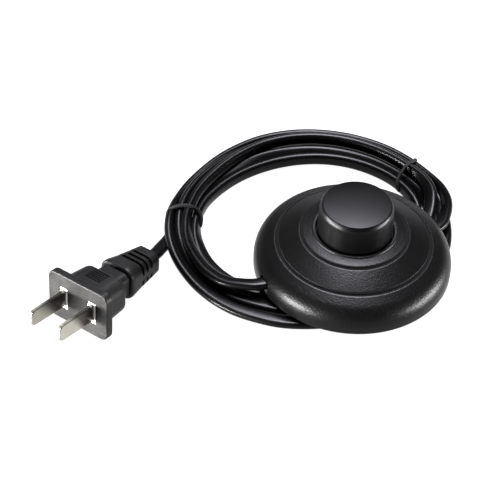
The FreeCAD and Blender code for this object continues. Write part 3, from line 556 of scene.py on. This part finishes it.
def soft_corners(outline):
    """An outline of (radius, height, round) corners as points, each corner an arc."""
    points = []
    for i, (r, z, rounding) in enumerate(outline):
        corner = Vector((r, z))
        if rounding == 0:
            points.append(corner)
            continue
        back = (Vector(outline[i - 1][:2]) - corner).normalized()
        ahead = (Vector(outline[i + 1][:2]) - corner).normalized()
        half = back.angle(ahead) / 2
        middle = corner + (back + ahead).normalized() * (rounding / math.sin(half))
        reach = rounding / math.tan(half)
        start = corner + back * reach - middle
        sweep = start.angle_signed(corner + ahead * reach - middle)
        steps = 6 + round(2 * rounding)
        for step in range(steps + 1):
            points.append(middle + Matrix.Rotation(-sweep * step / steps, 2) @ start)
    return points


def turned(name, outline):
    """An outline of radius and height in mm, spun round the axis."""
    points = soft_corners(outline)
    bpy.ops.mesh.primitive_plane_add(size=MM)
    piece = bpy.context.object
    piece.name = name
    bpy.ops.object.mode_set(mode="EDIT")
    bpy.ops.mesh.select_all(action="SELECT")
    bpy.ops.mesh.merge(type="CENTER")
    bpy.ops.transform.translate(value=(points[0].x * MM, 0, points[0].y * MM))
    for before, after in zip(points, points[1:]):
        move = (after - before) * MM
        bpy.ops.mesh.extrude_region_move(TRANSFORM_OT_translate={"value": (move.x, 0, move.y)})
    bpy.ops.mesh.select_all(action="SELECT")
    bpy.ops.mesh.spin(steps=SPIN_STEPS, angle=math.tau, center=(0, 0, 0), axis=(0, 0, 1))
    bpy.ops.mesh.select_all(action="SELECT")
    bpy.ops.mesh.remove_doubles(threshold=MERGE_GAP * MM)
    bpy.ops.mesh.normals_make_consistent(inside=False)
    bpy.ops.object.mode_set(mode="OBJECT")
    bpy.ops.object.shade_smooth_by_angle(angle=CREASE)
    return piece


def slope(start, end, radius):
    """The height at a radius on the straight run from start to end."""
    return start[1] + (end[1] - start[1]) * (radius - start[0]) / (end[0] - start[0])


RIM = 35.0
RIM_CORNER = (RIM, 11.55)
RIM_INSIDE = 33.0
OUTER_GROOVE = (GROOVES[0], 15.65)
INNER_GROOVE = (GROOVES[1], 19.75)
COLLAR_HEIGHT = 20.4
LIP_HEIGHT = 20.9
HOLE = 13.6
LIP_EDGE = 15.0
GROOVE_DEPTH = 0.7
GROOVE_TAPER = 0.12
GROOVE_STEP = 0.11
SHOULDER_ROUND = 0.5
OUTER_ROUND = 0.3
BOTTOM_ROUND = 0.16
INNER_ROUND = 0.18
UNDERSIDE = 18.1
FOOT = 4.0


def groove(place, before, after):
    """A narrow turned groove whose edges are broken, from the outside in."""
    outer = place[0] + GROOVE_HALF
    inner = place[0] - GROOVE_HALF
    shoulder = outer + GROOVE_HALF
    bottom = place[1] - GROOVE_DEPTH
    return [
        (shoulder, slope(before, place, shoulder), SHOULDER_ROUND),
        (outer, slope(before, place, shoulder) + GROOVE_STEP, OUTER_ROUND),
        (outer - GROOVE_TAPER, bottom, BOTTOM_ROUND),
        (inner + GROOVE_TAPER, bottom, BOTTOM_ROUND),
        (inner, slope(place, after, inner), INNER_ROUND),
    ]


def add_cover():
    """The stepped dome, from the rim's foot over the grooves and down to the rim again."""
    collar_edge = (LIP_EDGE, COLLAR_HEIGHT)
    outline = [
        (RIM_INSIDE, FOOT, 0),
        (RIM, FOOT, 0.6),
        (*RIM_CORNER, 8.0),
        *groove(OUTER_GROOVE, RIM_CORNER, INNER_GROOVE),
        *groove(INNER_GROOVE, OUTER_GROOVE, collar_edge),
        (*collar_edge, 0.25),
        (LIP_EDGE - 0.2, LIP_HEIGHT, 0.5),
        (HOLE, LIP_HEIGHT, 0.4),
        (HOLE, UNDERSIDE, 0),
        (17.0, UNDERSIDE, 0),
        (27.0, 13.3, 0),
        (32.6, 9.4, 0),
        (RIM_INSIDE, FOOT, 0),
    ]
    cover = turned("cover", outline)
    for side in (1, -1):
        cut_notch(cover, side)
    return finish_piece(cover, "black_shell", "base", "top_cover")


NOTCH_HALF = 2.9
NOTCH_ROOF = 9.4
NOTCH_DEEP = 8
NOTCH_ROUND = 1.0


def cut_notch(cover, side):
    """The cord's way in through the rim."""
    bpy.ops.mesh.primitive_cube_add(size=MM)
    cutter = bpy.context.object
    cutter.scale = (NOTCH_DEEP, 2 * NOTCH_HALF, 2 * (NOTCH_ROOF - FOOT))
    cutter.location = Vector((side * RIM, 0, FOOT)) * MM
    bpy.ops.object.transform_apply(location=True, rotation=True, scale=True)
    bevel = cutter.modifiers.new("bevel", "BEVEL")
    bevel.width = NOTCH_ROUND * MM
    bevel.segments = 4
    only(cutter)
    bpy.ops.object.modifier_apply(modifier=bevel.name)
    only(cover)
    cut = cover.modifiers.new("notch", "BOOLEAN")
    cut.operation = "DIFFERENCE"
    cut.object = cutter
    bpy.ops.object.modifier_apply(modifier=cut.name)
    bpy.data.objects.remove(cutter)


BUTTON_SIDE = 13.2
FLANGE_EDGE = 15.4
FLANGE_TOP = 17.8
FLANGE_FOOT = 16.3
CEILING = 30.6
STEM_EDGE = 4.6
STEM_FOOT = 28.4


def add_button():
    """The domed cap, its flange under the cover, and inside it the ceiling and the short stem."""
    outline = [
        (0, 32.45, 0),
        (4.0, 32.39, 0),
        (8.0, 32.22, 0),
        (12.0, 31.93, 0.7),
        (12.85, 30.4, 3.6),
        (BUTTON_SIDE, LIP_HEIGHT, 0),
        (BUTTON_SIDE, FLANGE_TOP, 0),
        (FLANGE_EDGE, FLANGE_TOP, 0),
        (FLANGE_EDGE, FLANGE_FOOT, 0),
        (11.4, FLANGE_FOOT, 0),
        (10.7, CEILING, 0),
        (STEM_EDGE, CEILING, 0),
        (STEM_EDGE, STEM_FOOT, 0),
        (0, STEM_FOOT, 0),
    ]
    return finish_piece(turned("button", outline), "button_black", "button", "push_button")


# The return spring, a helix of round wire from its foot to its head

SPRING_RADIUS = 7.2
SPRING_WIRE = 0.9
SPRING_TURNS = 4.5
STEPS_PER_TURN = 24
SPRING_FOOT = 20.3
SPRING_HEAD = 30.5


def add_spring():
    steps = round(SPRING_TURNS * STEPS_PER_TURN)
    length = SPRING_HEAD - SPRING_FOOT
    places = []
    for step in range(steps + 1):
        angle = math.tau * SPRING_TURNS * step / steps
        across, along = SPRING_RADIUS * math.cos(angle), SPRING_RADIUS * math.sin(angle)
        height = SPRING_FOOT + SPRING_WIRE / 2 + (length - SPRING_WIRE) * step / steps
        places.append((across, along, height))
    spring = bent_wire("return_spring", places, SPRING_WIRE, False)
    finish_piece(spring, "spring_steel", "base", "button_spring")
    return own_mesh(spring)


add_cover()
add_button()
add_spring()


# The other CAD pieces take their slot's material as they are

for part in frame["record"]["subparts"]:
    node = frame["nodes"][part["node"]]
    if not node.hide_render:
        node.data.materials.clear()
        node.data.materials.append(MATERIALS[part["material_slot"]])

PLUG_NODES = ("plug_body", "plug_core", "blade_left", "blade_right")
plug_pieces = [frame["nodes"][name] for name in PLUG_NODES]
length_of(plug_line)
plug_pieces + ties
length_of(lamp_line)


# Floor and light

FLOOR_SIZE = 60
FLOOR_CLOUD = 0.4
FLOOR_GLOW = 0.97
WORLD_GLOW = 0.04

# Each light: place, aim, size, power in W and tint. The two panels stand low on the floor.
LOW = 0.012
WHITE = (1, 1, 1)
COOL = (1.01, 1.0, 1.1)
LIGHTS = {
    "panel_left": ((-0.60, 0.05, LOW), (0, 0, LOW), (0.5, 0.02), 47, WHITE),
    "panel_right": ((0.48, -0.36, LOW), (0, 0, LOW), (0.45, 0.02), 15, WHITE),
    "overhead": ((0.08, 0.16, 1.0), (0, 0, 0), (0.4, 0.4), 36, COOL),
    "behind": ((0.25, 0.45, 0.9), (0, 0, 0), (0.4, 0.3), 17, COOL),
}


def add_floor():
    """A wide pale floor that glows, so that it stays white under the lights."""
    bpy.ops.mesh.primitive_plane_add(size=FLOOR_SIZE)
    floor = bpy.context.object
    floor.name = "floor"
    look = Look("floor")
    cloud = look.noise(FLOOR_CLOUD)
    look.dress(Base_Color=look.mix(cloud, shade(0.075), shade(0.085)), Roughness=0.9)
    look.dress(Emission_Color=(1, 1, 1, 1), Emission_Strength=FLOOR_GLOW)
    floor.data.materials.append(look.material)


def add_light(name, place, aim, size, power, tint):
    """A flat panel that faces its aim."""
    data = bpy.data.lights.new(name, "AREA")
    data.shape = "RECTANGLE"
    data.size, data.size_y = size
    data.energy = power
    data.color = tint
    light = new_object(name, data)
    light.location = place
    light.rotation_euler = (Vector(aim) - Vector(place)).to_track_quat("-Z", "Y").to_euler()


add_floor()
for name, light in LIGHTS.items():
    add_light(name, *light)

world = bpy.data.worlds.new("studio")
world.use_nodes = True
background = world.node_tree.nodes["Background"]
background.inputs["Color"].default_value = (1, 1, 1, 1)
background.inputs["Strength"].default_value = WORLD_GLOW
bpy.context.scene.world = world
bpy.context.scene.view_settings.view_transform = "Standard"
